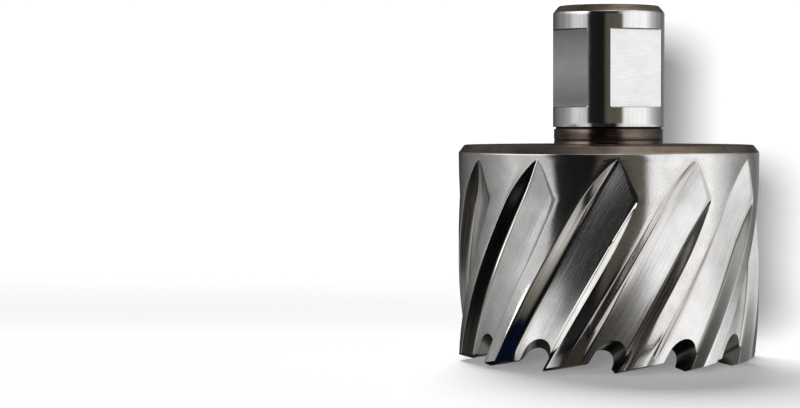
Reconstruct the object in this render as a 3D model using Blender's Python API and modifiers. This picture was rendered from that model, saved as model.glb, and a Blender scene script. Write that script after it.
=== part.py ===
"""Annular cutter: a hollow cup-shaped drill ground from one piece of high speed steel.

Metres, +Z up. The origin is on the cutter's axis, in the plane of the tooth tips, so the
cutter stands on its teeth with its shank up. Angles are taken about the axis from -Y,
growing towards +X, so angle 0 is the front.

The blank is one turned profile. Four sets of ground cuts are then taken out of it: the two
flats of the shank, the helical flutes, the gullets between the teeth, and the relief behind
each cutting edge.
"""

import math

import bmesh
import bpy
from mathutils import Matrix, Vector

NAME = "annular_cutter"

# Shank: a 3/4 inch round with two flats a quarter turn apart
SHANK_DIAMETER = 0.01905
SHANK_LENGTH = 0.0206
SHANK_CHAMFER_WIDTH = 0.0010
SHANK_CHAMFER_HEIGHT = 0.0012
FLAT_DEPTH = 0.00155
FLAT_HEIGHT = 0.0133
FLAT_BELOW_TOP = 0.0040
FLAT_CORNER_RADIUS = 0.0003
FIRST_FLAT_ANGLE = math.radians(35.0)
FLAT_SPREAD = math.radians(-90.0)

# Neck between the shank and the cup, with the undercut and the tool mark left by turning
NECK_DIAMETER = 0.0187
NECK_LENGTH = 0.00305
NECK_FILLET = 0.0003
UNDERCUT_WIDTH = 0.00035
UNDERCUT_DEPTH = 0.0003
GROOVE_WIDTH = 0.00025
GROOVE_DEPTH = 0.00015
GROOVE_ABOVE_CUP = 0.0008

# Cup
CUTTING_DIAMETER = 0.0514
CUP_HEIGHT = 0.03675
CUP_CHAMFER_WIDTH = 0.0010
CUP_CHAMFER_HEIGHT = 0.0013
WALL_THICKNESS = 0.0048
WEB_THICKNESS = 0.00525
CAVITY_FILLET = 0.0015

# Bore for the pilot pin
PILOT_BORE_DIAMETER = 0.0064
PILOT_BORE_CHAMFER = 0.0005

# Flutes: a leaning trailing wall, a floor that follows the cup, and the rake wall
TOOTH_COUNT = 12
TOOTH_PHASE = math.radians(2.8)
HELIX_LEAD = 0.266
LAND_WIDTH = 0.0025
FLUTE_DEPTH_AT_HEEL = 0.00206
FLUTE_DEPTH_AT_RAKE = 0.00197
HEEL_WALL_LEAN = math.radians(44.5)
RAKE_WALL_LEAN = math.radians(36.0)
RAKE_WALL_LEAN_AT_RUNOUT = math.radians(26.5)
FLUTE_FILLET = 0.0004
FLUTE_END_BELOW_CUP = 0.0017
RUNOUT_SKEW = 0.0067
HEEL_RUNOUT_RADIUS = 0.016
RAKE_RUNOUT_RADIUS = 0.032

# Gullets: round-ended slots that slant up and sideways through the wall
GULLET_WIDTH = 0.0044
GULLET_STRAIGHT = 0.0019
GULLET_SIDE_SLANT = math.radians(33.7)
GULLET_RISE_SLANT = math.radians(32.1)
GULLET_OVERCUT = 0.0001

# Tooth ends: a ridge with a bevel to each side, relieved behind the cutting edge
RIDGE_INSET = 0.0025
OUTER_BEVEL = math.radians(20.0)
INNER_BEVEL = math.radians(12.0)
RELIEF_ANGLE = math.radians(10.5)

# Cutters reach this far past the metal they remove
CLEAR = 0.0006
STOCK_BELOW_TIPS = 0.0003

# The relief runs from just ahead of its edge into the next gullet, in shares of the tooth pitch
RELIEF_START = -0.10
RELIEF_END = 0.84

# Facets
TURNED_STEPS = 72
HELIX_STEP = 0.0024
RUNOUT_STEP = 0.0013
RELIEF_STEPS = 6
ARC_STEPS = 3
SMALL_ARC_STEPS = 2
GULLET_ARC_STEPS = 10
BACK_STEPS = 4

# Points of a flute's section, as shares of each wall from its corner outwards, and of the floor
HEEL_WALL_STOPS = (1.0, 0.4, 0.1)
FLOOR_STOPS = (0.06, 0.3, 0.53, 0.75, 0.94)
RAKE_WALL_STOPS = (0.12, 1.0)

# Sizes that follow from those above
SHANK_RADIUS = SHANK_DIAMETER / 2
NECK_RADIUS = NECK_DIAMETER / 2
RIM_RADIUS = CUTTING_DIAMETER / 2
INNER_RADIUS = RIM_RADIUS - WALL_THICKNESS
RIDGE_RADIUS = RIM_RADIUS - RIDGE_INSET
BORE_RADIUS = PILOT_BORE_DIAMETER / 2
ROOF_HEIGHT = CUP_HEIGHT - WEB_THICKNESS
SHANK_BASE = CUP_HEIGHT + NECK_LENGTH
TOP = SHANK_BASE + SHANK_LENGTH
TOOTH_PITCH = math.tau / TOOTH_COUNT
HEEL_SPREAD = math.tan(HEEL_WALL_LEAN)
RAKE_SPREAD = math.tan(RAKE_WALL_LEAN)
RAKE_SPREAD_AT_RUNOUT = math.tan(RAKE_WALL_LEAN_AT_RUNOUT)
FLOOR_WIDTH = (RIM_RADIUS * TOOTH_PITCH - LAND_WIDTH
               - FLUTE_DEPTH_AT_HEEL * HEEL_SPREAD - FLUTE_DEPTH_AT_RAKE * RAKE_SPREAD)
FLOOR_ANGLE = FLOOR_WIDTH / RIM_RADIUS
HEEL_RUNOUT_END = CUP_HEIGHT - FLUTE_END_BELOW_CUP
RAKE_RUNOUT_END = HEEL_RUNOUT_END - RUNOUT_SKEW


def place(radius, angle, height):
    """Point at a radius from the axis, an angle from the front and a height."""
    return Vector((radius * math.sin(angle), -radius * math.cos(angle), height))


def runout(height, depth, end, radius):
    """How far the wheel has lifted on an arc of this radius, which clears the rim at end."""
    start = end - math.sqrt(2 * radius * depth)
    lifted = max(0.0, height - start)
    return lifted * lifted / (2 * radius)


def rake_corner_angle(height):
    """Angle of the corner between flute floor and rake wall, which climbs the helix."""
    return TOOTH_PHASE + math.tau * height / HELIX_LEAD


def rake_depth(height):
    """Depth of that corner, where the wheel lifts out on the flatter arc."""
    lifted = runout(height, FLUTE_DEPTH_AT_RAKE, RAKE_RUNOUT_END, RAKE_RUNOUT_RADIUS)
    return FLUTE_DEPTH_AT_RAKE - lifted


def rake_spread(height):
    """Lean of the rake wall as a slope. The wall gets steeper evenly towards the shank."""
    change = RAKE_SPREAD_AT_RUNOUT - RAKE_SPREAD
    return RAKE_SPREAD + change * height / RAKE_RUNOUT_END


def heel_depth(height):
    """Depth of the corner between flute floor and trailing wall."""
    lifted = runout(height, FLUTE_DEPTH_AT_HEEL, HEEL_RUNOUT_END, HEEL_RUNOUT_RADIUS)
    return FLUTE_DEPTH_AT_HEEL - lifted


def larger(a, b, blend):
    """Larger of two heights, with a fillet of about blend where they meet."""
    return (a + b + math.hypot(a - b, blend)) / 2


def flute_radius(across, height):
    """Radius of the flute's surface at a distance across it from the heel corner."""
    heel = RIM_RADIUS - heel_depth(height)
    rake = RIM_RADIUS - rake_depth(height)
    floor = heel + (rake - heel) * across / FLOOR_WIDTH
    heel_wall = heel - across / HEEL_SPREAD
    rake_wall = rake + (across - FLOOR_WIDTH) / rake_spread(height)
    return larger(larger(floor, heel_wall, FLUTE_FILLET), rake_wall, FLUTE_FILLET)


def new_cutter(name, bm, collection):
    """Object in a collection, from a bmesh. Its faces are made triangles, because the twisted
    ones aren't flat and wouldn't cut cleanly, and are turned outwards."""
    bmesh.ops.triangulate(bm, faces=bm.faces)
    bmesh.ops.recalc_face_normals(bm, faces=bm.faces)
    mesh = bpy.data.meshes.new(name)
    bm.to_mesh(mesh)
    bm.free()
    made = bpy.data.objects.new(name, mesh)
    collection.objects.link(made)
    return made


def loft(bm, sections):
    """Closed solid through a row of sections that have equally many points."""
    rings = [[bm.verts.new(point) for point in section] for section in sections]
    count = len(rings[0])
    for lower, upper in zip(rings, rings[1:]):
        for i in range(count):
            j = (i + 1) % count
            bm.faces.new((lower[i], lower[j], upper[j], upper[i]))
    bm.faces.new(rings[0])
    bm.faces.new(rings[-1])


def repeat_round_axis(bm, count):
    """Copies of what a bmesh holds, evenly spaced about the axis."""
    first = bm.verts[:] + bm.edges[:] + bm.faces[:]
    for i in range(1, count):
        copied = bmesh.ops.duplicate(bm, geom=first)["geom"]
        points = [item for item in copied if isinstance(item, bmesh.types.BMVert)]
        turn = Matrix.Rotation(math.tau * i / count, 3, "Z")
        bmesh.ops.rotate(bm, verts=points, cent=(0, 0, 0), matrix=turn)


def quarter_arc(centre, radius, start, steps):
    """Points of a quarter turn, clockwise in (radius, height), from a start angle."""
    angles = [start - math.pi / 2 * i / steps for i in range(steps + 1)]
    return [(centre[0] + radius * math.cos(a), centre[1] + radius * math.sin(a)) for a in angles]


def blank_profile():
    """Closed half section of the turned blank: down the outside, up the cavity and bore."""
    groove = CUP_HEIGHT + GROOVE_ABOVE_CUP
    undercut = NECK_RADIUS - UNDERCUT_DEPTH
    neck_foot = quarter_arc((NECK_RADIUS + NECK_FILLET, CUP_HEIGHT + NECK_FILLET),
                            NECK_FILLET, -math.pi / 2, SMALL_ARC_STEPS)[::-1]
    roof_corner = (INNER_RADIUS - CAVITY_FILLET, ROOF_HEIGHT - CAVITY_FILLET)
    roof_arc = quarter_arc(roof_corner, CAVITY_FILLET, math.pi / 2, ARC_STEPS)[::-1]
    outside = [
        (SHANK_RADIUS - SHANK_CHAMFER_WIDTH, TOP),
        (SHANK_RADIUS, TOP - SHANK_CHAMFER_HEIGHT),
        (SHANK_RADIUS, SHANK_BASE),
        (undercut, SHANK_BASE),
        (undercut, SHANK_BASE - UNDERCUT_WIDTH),
        (NECK_RADIUS, SHANK_BASE - UNDERCUT_WIDTH),
        (NECK_RADIUS, groove + GROOVE_WIDTH / 2),
        (NECK_RADIUS - GROOVE_DEPTH, groove),
        (NECK_RADIUS, groove - GROOVE_WIDTH / 2),
    ]
    cup = [
        (RIM_RADIUS - CUP_CHAMFER_WIDTH, CUP_HEIGHT),
        (RIM_RADIUS, CUP_HEIGHT - CUP_CHAMFER_HEIGHT),
        (RIM_RADIUS, -STOCK_BELOW_TIPS),
        (INNER_RADIUS, -STOCK_BELOW_TIPS),
    ]
    bore = [
        (BORE_RADIUS + PILOT_BORE_CHAMFER, ROOF_HEIGHT),
        (BORE_RADIUS, ROOF_HEIGHT + PILOT_BORE_CHAMFER),
        (BORE_RADIUS, TOP - PILOT_BORE_CHAMFER),
        (BORE_RADIUS + PILOT_BORE_CHAMFER, TOP),
    ]
    return outside + neck_foot + cup + roof_arc + bore


def make_blank(collection):
    """Turned blank, from its half section and a Screw modifier."""
    bm = bmesh.new()
    points = [bm.verts.new((radius, 0, height)) for radius, height in blank_profile()]
    for a, b in zip(points, points[1:] + points[:1]):
        bm.edges.new((a, b))
    mesh = bpy.data.meshes.new(NAME)
    bm.to_mesh(mesh)
    bm.free()
    blank = bpy.data.objects.new(NAME, mesh)
    collection.objects.link(blank)
    screw = blank.modifiers.new("Turn", "SCREW")
    screw.steps = TURNED_STEPS
    screw.render_steps = TURNED_STEPS
    screw.use_merge_vertices = True
    screw.merge_threshold = 0.000001
    screw.use_smooth_shade = False
    return blank


def make_flats(collection):
    """Two boxes that cut the clamping flats, each pocket square-ended with a small fillet."""
    inner = SHANK_RADIUS - FLAT_DEPTH
    outer = SHANK_RADIUS + CLEAR
    half_chord = math.sqrt(SHANK_RADIUS ** 2 - inner ** 2)
    size = (2 * (half_chord + CLEAR), outer - inner, FLAT_HEIGHT)
    middle = TOP - FLAT_BELOW_TOP - FLAT_HEIGHT / 2
    bm = bmesh.new()
    for angle in (FIRST_FLAT_ANGLE, FIRST_FLAT_ANGLE + FLAT_SPREAD):
        turn = Matrix.Rotation(angle, 4, "Z")
        move = Matrix.Translation((0, -(inner + outer) / 2, middle))
        box = bmesh.ops.create_cube(bm, size=1, matrix=turn @ move @ Matrix.Diagonal((*size, 1)))
        floor_edges = {edge for vert in box["verts"] for edge in vert.link_edges
                       if is_floor_edge(edge, turn, inner)}
        bmesh.ops.bevel(bm, geom=list(floor_edges), offset=FLAT_CORNER_RADIUS,
                        segments=SMALL_ARC_STEPS, profile=0.5, affect="EDGES")
    return new_cutter("cut_flats", bm, collection)


def is_floor_edge(edge, turn, distance):
    """True for the level edges where a flat's floor meets its end walls."""
    ends = [turn.inverted() @ vert.co for vert in edge.verts]
    on_floor = all(abs(end.y + distance) < CLEAR / 10 for end in ends)
    level = abs(ends[0].z - ends[1].z) < CLEAR / 10
    return on_floor and level


def flute_section(height):
    """Section of a flute's cutter: across the flute surface, then back outside the rim."""
    reach = RIM_RADIUS + CLEAR
    heel_side = -(heel_depth(height) + CLEAR) * HEEL_SPREAD
    rake_side = FLOOR_WIDTH + (rake_depth(height) + CLEAR) * rake_spread(height)
    heel_side = min(heel_side, -CLEAR)
    rake_side = max(rake_side, FLOOR_WIDTH + CLEAR)
    stops = [share * heel_side for share in HEEL_WALL_STOPS]
    stops += [share * FLOOR_WIDTH for share in FLOOR_STOPS]
    stops += [FLOOR_WIDTH + share * (rake_side - FLOOR_WIDTH) for share in RAKE_WALL_STOPS]
    heel_angle = rake_corner_angle(height) - FLOOR_ANGLE
    surface = [(min(flute_radius(across, height), reach), heel_angle + across / RIM_RADIUS)
               for across in stops]
    surface[0] = (reach, surface[0][1])
    surface[-1] = (reach, surface[-1][1])
    returns = [rake_side + (heel_side - rake_side) * i / BACK_STEPS for i in range(BACK_STEPS + 1)]
    back = [(reach + CLEAR, heel_angle + across / RIM_RADIUS) for across in returns]
    return [place(radius, angle, height) for radius, angle in surface + back]


def evenly(start, end, step):
    """Values from start to end, evenly spaced and at most a step apart."""
    count = math.ceil((end - start) / step)
    return [start + (end - start) * i / count for i in range(count + 1)]


def make_flutes(collection):
    """One lofted cutter for each flute, from below the teeth to where the wheel is clear."""
    bottom = -STOCK_BELOW_TIPS - CLEAR
    lifting = RAKE_RUNOUT_END - math.sqrt(2 * RAKE_RUNOUT_RADIUS * FLUTE_DEPTH_AT_RAKE)
    top = HEEL_RUNOUT_END + CLEAR
    heights = evenly(bottom, lifting, HELIX_STEP) + evenly(lifting, top, RUNOUT_STEP)[1:]
    bm = bmesh.new()
    loft(bm, [flute_section(height) for height in heights])
    repeat_round_axis(bm, TOOTH_COUNT)
    return new_cutter("cut_flutes", bm, collection)


def gullet_frame():
    """Corner point at the tips, then the gullet's across, up and outward directions."""
    angle = rake_corner_angle(0)
    radius = RIM_RADIUS - rake_depth(0)
    outwards = place(1, angle, 0)
    sideways = Vector((0, 0, 1)).cross(outwards)
    upwards = Vector((0, 0, 1))
    helix = (sideways * (math.tau * radius / HELIX_LEAD) + upwards).normalized()
    along = (outwards + sideways * math.tan(GULLET_SIDE_SLANT)
             + upwards * math.tan(GULLET_RISE_SLANT)).normalized()
    up = (helix - along * helix.dot(along)).normalized()
    across = along.cross(up)
    return place(radius, angle, 0), across, up, along


def make_gullets(collection):
    """Slots with one round end, pushed through the wall along their slanted direction."""
    corner, across, up, along = gullet_frame()
    half = GULLET_WIDTH / 2
    middle = half - GULLET_OVERCUT
    steepest = 1 / along.dot(place(1, rake_corner_angle(0), 0))
    inward = (WALL_THICKNESS - rake_depth(0) + 2 * CLEAR) * steepest
    outward = (rake_depth(0) + 2 * CLEAR) * steepest
    drop = STOCK_BELOW_TIPS + WALL_THICKNESS
    outline = [(middle - half, -drop), (middle + half, -drop)]
    for i in range(GULLET_ARC_STEPS + 1):
        turn = math.pi * i / GULLET_ARC_STEPS
        outline.append((middle + half * math.cos(turn), GULLET_STRAIGHT + half * math.sin(turn)))
    flat = [corner + across * u + up * v for u, v in outline]
    bm = bmesh.new()
    loft(bm, [[point - along * inward for point in flat], [point + along * outward for point in flat]])
    repeat_round_axis(bm, TOOTH_COUNT)
    return new_cutter("cut_gullets", bm, collection)


def ridge_height(radius):
    """Height of the tooth's cutting edge: a ridge with a bevel to each side."""
    if radius > RIDGE_RADIUS:
        return (radius - RIDGE_RADIUS) * math.tan(OUTER_BEVEL)
    return (RIDGE_RADIUS - radius) * math.tan(INNER_BEVEL)


def cutting_edge_angle(radius):
    """Angle of the cutting edge: along the gullet's flank inside, the rake wall outside."""
    height = ridge_height(radius)
    corner = RIM_RADIUS - rake_depth(height)
    _, across, _, _ = gullet_frame()
    outwards = place(1, rake_corner_angle(0), 0)
    sideways = Vector((0, 0, 1)).cross(outwards)
    flank = -across.dot(outwards) / across.dot(sideways)
    overcut = -GULLET_OVERCUT / across.dot(sideways)
    spread = rake_spread(height) if radius > corner else flank
    return rake_corner_angle(height) + ((radius - corner) * spread + overcut) / radius


def make_reliefs(collection):
    """Helical ramps that form the underside of each tooth, climbing from its edge."""
    radii = [INNER_RADIUS - CLEAR, INNER_RADIUS, RIDGE_RADIUS, RIM_RADIUS, RIM_RADIUS + CLEAR]
    sections = []
    for i in range(RELIEF_STEPS + 1):
        share = RELIEF_START + (RELIEF_END - RELIEF_START) * i / RELIEF_STEPS
        behind = share * TOOTH_PITCH
        upper = [place(radius, cutting_edge_angle(radius) + behind,
                       ridge_height(radius) + radius * behind * math.tan(RELIEF_ANGLE))
                 for radius in radii]
        lower = [Vector((point.x, point.y, -STOCK_BELOW_TIPS - CLEAR)) for point in reversed(upper)]
        sections.append(upper + lower)
    bm = bmesh.new()
    loft(bm, sections)
    repeat_round_axis(bm, TOOTH_COUNT)
    return new_cutter("cut_reliefs", bm, collection)


def steel():
    """Ground high speed steel."""
    material = bpy.data.materials.new("ground_steel")
    material.use_nodes = True
    shader = material.node_tree.nodes["Principled BSDF"]
    shader.inputs["Base Color"].default_value = (0.55, 0.54, 0.52, 1)
    shader.inputs["Metallic"].default_value = 1.0
    shader.inputs["Roughness"].default_value = 0.28
    return material


def main():
    for item in list(bpy.data.objects):
        bpy.data.objects.remove(item)
    scene = bpy.context.scene
    parts = bpy.data.collections.new(NAME)
    cutters = bpy.data.collections.new("cutters")
    scene.collection.children.link(parts)
    scene.collection.children.link(cutters)
    blank = make_blank(parts)
    for make in (make_flats, make_flutes, make_gullets, make_reliefs):
        cutter = make(cutters)
        cutter.display_type = "WIRE"
        cutter.hide_render = True
        cut = blank.modifiers.new(cutter.name, "BOOLEAN")
        cut.operation = "DIFFERENCE"
        cut.solver = "EXACT"
        cut.object = cutter
    blank.data.materials.append(steel())


main()
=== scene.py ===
# %% [markdown]
# # Dressing an annular cutter
# An annular cutter is a hollow, cup-shaped drill. It cuts only a ring out of steel plate and
# leaves the core standing, which then slips up into the cup as a slug. The real one is ground
# from a single blank of high speed steel, so this lesson makes one piece: a fine skin that
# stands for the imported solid, with the finish of every ground, turned and heat-tinted face.

import math

import bmesh
import bpy
import numpy as np
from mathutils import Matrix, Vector


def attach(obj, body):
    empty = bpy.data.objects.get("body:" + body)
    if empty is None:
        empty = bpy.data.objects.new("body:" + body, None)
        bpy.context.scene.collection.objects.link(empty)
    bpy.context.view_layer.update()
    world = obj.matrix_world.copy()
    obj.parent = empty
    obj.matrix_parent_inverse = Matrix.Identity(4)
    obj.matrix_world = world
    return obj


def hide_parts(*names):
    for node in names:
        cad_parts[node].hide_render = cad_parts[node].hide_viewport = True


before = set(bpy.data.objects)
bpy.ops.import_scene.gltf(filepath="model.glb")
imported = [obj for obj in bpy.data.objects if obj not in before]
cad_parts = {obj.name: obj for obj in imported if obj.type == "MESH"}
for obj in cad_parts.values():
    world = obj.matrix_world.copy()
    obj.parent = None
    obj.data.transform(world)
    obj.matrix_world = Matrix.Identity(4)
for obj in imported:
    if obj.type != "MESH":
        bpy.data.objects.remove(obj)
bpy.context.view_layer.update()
NODE = "annular_cutter"
print("the frame has", len(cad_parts), "node:", *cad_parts)

# %% [markdown]
# ## Sizes
# The solid that came with the frame already has the true size. Its rim and its top are read
# back from its vertices. The other sizes of the design are repeated here in metres, because
# the finer skin has to follow the same flutes, gullets and teeth.

# %% Sizes of the cutter
cad_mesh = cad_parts[NODE].data
cad_points = np.empty(len(cad_mesh.vertices) * 3)
cad_mesh.vertices.foreach_get("co", cad_points)
cad_points = cad_points.reshape(-1, 3)
RIM = float(np.hypot(cad_points[:, 0], cad_points[:, 1]).max())
TOP = float(cad_points[:, 2].max())

SHANK = 0.009525
SHANK_LENGTH = 0.0206
SHANK_CHAMFER = (0.0010, 0.0012)
FLAT_DEPTH = 0.00155
FLAT_HEIGHT = 0.0133
FLAT_BELOW_TOP = 0.0040
FLAT_FILLET = 0.0003
FLAT_ANGLES = (math.radians(35.0), math.radians(-55.0))
NECK = 0.00935
NECK_LENGTH = 0.00305
NECK_FILLET = 0.0003
UNDERCUT = (0.0003, 0.00035)
GROOVE = (0.00015, 0.00025)
GROOVE_ABOVE_CUP = 0.0008
CUP_CHAMFER = (0.0010, 0.0013)
WALL = 0.0048
WEB = 0.00525
CAVITY_FILLET = 0.0015
BORE = 0.0032
BORE_CHAMFER = 0.0005

SHANK_BASE = TOP - SHANK_LENGTH
CUP_TOP = SHANK_BASE - NECK_LENGTH
FLUTED_TOP = CUP_TOP - CUP_CHAMFER[1]
INNER = RIM - WALL
ROOF = CUP_TOP - WEB
print("rim", RIM, "top", TOP, "cup", CUP_TOP)

# %% [markdown]
# ## The flute as a height field
# A flute is the helical trough that carries the chips up and out. A grinding wheel cuts it in
# one pass: the wheel's face leaves a floor, its corner a small fillet, and its flank a leaning
# wall. Near the top the wheel lifts out along its own radius, which leaves the pointed arch.
# It could be cut with a Boolean, but the blend between wall and floor would then be a crease.
# Here the surface is a formula instead: the radius at any distance across the flute and any
# height. Two walls and a floor are three straight lines, and a soft maximum joins them.

# %% Sizes of a flute
TEETH = 12
PITCH = math.tau / TEETH
TOOTH_PHASE = math.radians(2.8)
LEAD = 0.266
LAND = 0.0025
HEEL_DEPTH = 0.00206
RAKE_DEPTH = 0.00197
HEEL_LEAN = math.tan(math.radians(44.5))
RAKE_LEAN = math.tan(math.radians(36.0))
RAKE_LEAN_AT_RUNOUT = math.tan(math.radians(26.5))
HEEL_FILLET = 0.0006
RAKE_FILLET = 0.0003
FLUTE_END_BELOW_CUP = 0.0017
RUNOUT_SKEW = 0.0067
HEEL_ARC = 0.016
RAKE_ARC = 0.032
EDGE_BLEND = 0.00007

FLOOR = RIM * PITCH - LAND - HEEL_DEPTH * HEEL_LEAN - RAKE_DEPTH * RAKE_LEAN
FLUTE_PERIOD = RIM * PITCH
HEEL_END = CUP_TOP - FLUTE_END_BELOW_CUP
RAKE_END = HEEL_END - RUNOUT_SKEW
print("a flute's floor is", round(FLOOR * 1000, 2), "mm wide")


# %% How the wheel lifts and leans
def lift_start(depth, end, arc):
    """Height at which the wheel starts to lift, so that it has left the rim at the flute's end."""
    return end - math.sqrt(2 * arc * depth)


def runout(height, depth, end, arc):
    """How far the wheel has lifted: (height above its start) squared over twice the arc."""
    return np.maximum(0, height - lift_start(depth, end, arc)) ** 2 / (2 * arc)


def rake_corner(height):
    """Angle of the corner at the foot of the rake wall: a full turn for each lead of height."""
    return TOOTH_PHASE + math.tau * height / LEAD


def rake_depth(height):
    """Depth of that corner, less what the wheel has lifted."""
    return RAKE_DEPTH - runout(height, RAKE_DEPTH, RAKE_END, RAKE_ARC)


def rake_lean(height):
    """Lean of the rake wall, which gets steeper evenly with height."""
    return RAKE_LEAN + (RAKE_LEAN_AT_RUNOUT - RAKE_LEAN) * height / RAKE_END


print("the heel wall lifts from", round(lift_start(HEEL_DEPTH, HEEL_END, HEEL_ARC) * 1000, 1), "mm up")


# %% The flute's section
def larger(a, b, blend):
    """Soft maximum: half of a + b + the hypotenuse of (a - b) and the blend."""
    return (a + b + np.hypot(a - b, blend)) / 2


def smaller(a, b, blend):
    """Soft minimum, the same blend turned over."""
    return (a + b - np.hypot(a - b, blend)) / 2


def flute_radius(across, height):
    """Soft maximum of floor, heel wall and rake wall, across being 0 at the heel corner."""
    heel = RIM - HEEL_DEPTH + runout(height, HEEL_DEPTH, HEEL_END, HEEL_ARC)
    rake = RIM - rake_depth(height)
    floor = heel + (rake - heel) * across / FLOOR
    heel_wall = heel - across / HEEL_LEAN
    rake_wall = rake + (across - FLOOR) / rake_lean(height)
    return larger(larger(floor, heel_wall, HEEL_FILLET), rake_wall, RAKE_FILLET)


def skin_radius(across, height):
    """Soft minimum of the rim, this flute and the next one, which rounds the land's edges."""
    flutes = smaller(flute_radius(across, height),
                     flute_radius(across - FLUTE_PERIOD, height), EDGE_BLEND)
    return smaller(flutes, RIM, EDGE_BLEND)


print("half way across, it is", round(float(RIM - flute_radius(FLOOR / 2, 0)) * 1000, 2), "mm deep")

# %% [markdown]
# ## Columns that follow the edges
# A grid shows a clean edge only if one of its lines lies on it. So the columns aren't evenly
# spaced: for each height the two edges of the flute are found on the formula, and knots are
# set at them, at both ends of each fillet and on the land. The columns share the stretches
# between the knots, so they climb the helix and close in on the arch by themselves. An even
# grid would need many more points for the same edges.

# %% Edges of a flute
LEAST_WIDTH = 0.00025
SEARCH_MARGIN = 0.004
SEARCH_STEPS = 3001


def flute_edges(heights):
    """Distances across at which the flute meets the rim, by linear interpolation."""
    across = np.linspace(-SEARCH_MARGIN, FLOOR + SEARCH_MARGIN, SEARCH_STEPS)
    above = flute_radius(across[None, :], heights[:, None]) - RIM
    is_open = above < 0
    has_flute = is_open.any(axis=1)
    rows = np.arange(len(heights))
    first = np.maximum(is_open.argmax(axis=1), 1)
    last = len(across) - 1 - is_open[:, ::-1].argmax(axis=1)
    last = np.minimum(last, len(across) - 2)

    def crossing(i, j):
        share = above[rows, i] / (above[rows, i] - above[rows, j])
        return across[i] + share * (across[j] - across[i])

    heel, rake = crossing(first - 1, first), crossing(last, last + 1)
    tip = np.flatnonzero(has_flute)[-1]
    middle = np.where(has_flute, (heel + rake) / 2, (heel[tip] + rake[tip]) / 2)
    width = np.where(has_flute, np.maximum(rake - heel, LEAST_WIDTH), LEAST_WIDTH)
    return middle - width / 2, middle + width / 2, heights[tip]


# %% Knots across a flute
EDGE_REACH = 0.00009
HEEL_FILLET_REACH = 0.0007
RAKE_FILLET_REACH = 0.0004
KNOT_GAP = 0.03
TABLE_START = -0.002
TABLE_STEP = 0.00005


def knot_table(heights):
    """Knots for each height: edges, fillet ends and land, kept in order as the flute narrows."""
    heel, rake, tip = flute_edges(heights)
    wanted = np.stack([heel, heel + EDGE_REACH,
                       np.full_like(heel, -HEEL_FILLET_REACH),
                       np.full_like(heel, HEEL_FILLET_REACH),
                       np.full_like(heel, FLOOR - RAKE_FILLET_REACH),
                       np.full_like(heel, FLOOR + RAKE_FILLET_REACH),
                       rake - EDGE_REACH, rake], axis=1)
    share = (wanted - heel[:, None]) / (rake - heel)[:, None]
    least = KNOT_GAP * np.arange(share.shape[1])
    most = 1 - least[::-1]
    share = np.clip(share, least, most)
    share = np.minimum(np.maximum.accumulate(share - least, axis=1) + least, most)
    inside = heel[:, None] + share * (rake - heel)[:, None]
    land = np.stack([rake + EDGE_REACH, heel + FLUTE_PERIOD - EDGE_REACH,
                     heel + FLUTE_PERIOD], axis=1)
    return np.concatenate([inside, land], axis=1), tip


table_heights = np.arange(TABLE_START, CUP_TOP, TABLE_STEP)
KNOTS, ARCH_TIP = knot_table(table_heights)
print(KNOTS.shape[1], "knots across a flute; the arch ends at", round(ARCH_TIP * 1000, 2), "mm")

# %% Columns between the knots
COLUMNS_BETWEEN_KNOTS = (2, 3, 8, 6, 4, 3, 2, 2, 4, 2)
PER_FLUTE = sum(COLUMNS_BETWEEN_KNOTS)
COLUMNS = PER_FLUTE * TEETH
segment = np.repeat(np.arange(len(COLUMNS_BETWEEN_KNOTS)), COLUMNS_BETWEEN_KNOTS)
within = np.concatenate([np.arange(n) / n for n in COLUMNS_BETWEEN_KNOTS])
SECTOR = np.repeat(np.arange(TEETH), PER_FLUTE)
SEGMENT = np.tile(segment, TEETH)
WITHIN = np.tile(within, TEETH)


def across_of(height):
    """Distance across for each column at its own height, read between the knots."""
    row = (height - TABLE_START) / TABLE_STEP
    low = np.clip(row.astype(int), 0, len(table_heights) - 2)
    part = np.clip(row - low, 0, 1)

    def knot(which):
        return KNOTS[low, which] * (1 - part) + KNOTS[low + 1, which] * part

    segments = np.broadcast_to(SEGMENT, height.shape)
    return knot(segments) * (1 - WITHIN) + knot(segments + 1) * WITHIN


def skin_angle(across, height):
    """Angle from the front: the heel corner on its helix, plus the arc across the flute."""
    heel_corner = rake_corner(height) - FLOOR / RIM
    return heel_corner + across / RIM + SECTOR * PITCH


print(PER_FLUTE, "columns for each flute,", COLUMNS, "in all")

# %% [markdown]
# ## Tooth ends
# Each tooth is sharpened like a lathe tool. Its end is a shallow ridge with one bevel towards
# the rim and one towards the core, so the chip splits, and behind the cutting edge the end
# falls away by the relief angle so that only the edge touches the work. Twelve cuts with tilted
# planes could make it. Here it is a surface again, because the skin's rows can then end on it: a
# ridge over the radius, plus a rise that grows with the arc behind the edge.

# %% Sizes of the tooth ends and gullets
RIDGE = RIM - 0.0025
OUTER_BEVEL = math.tan(math.radians(20.0))
INNER_BEVEL = math.tan(math.radians(12.0))
RELIEF = math.tan(math.radians(10.5))
GULLET_WIDTH = 0.0044
GULLET_STRAIGHT = 0.0019
GULLET_SIDE_SLANT = math.tan(math.radians(33.7))
GULLET_RISE_SLANT = math.tan(math.radians(32.1))
GULLET_OVERCUT = 0.0001


def spot(radius, angle, height):
    """Points from cylinder coordinates, with angle 0 at the front (-Y) and growing to +X."""
    return np.stack(np.broadcast_arrays(radius * np.sin(angle), -radius * np.cos(angle), height),
                    axis=-1)


def gullet_frame():
    """The corner at the tips, and the gullet's directions across, up and outward."""
    angle = rake_corner(0)
    outwards = spot(1, angle, 0)
    upwards = np.array([0, 0, 1.0])
    sideways = np.cross(upwards, outwards)
    radius = RIM - rake_depth(0)
    helix = sideways * (math.tau * radius / LEAD) + upwards
    along = outwards + sideways * GULLET_SIDE_SLANT + upwards * GULLET_RISE_SLANT
    along /= np.linalg.norm(along)
    up = helix - along * (helix @ along)
    up /= np.linalg.norm(up)
    return spot(radius, angle, 0), np.cross(along, up), up, along


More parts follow.
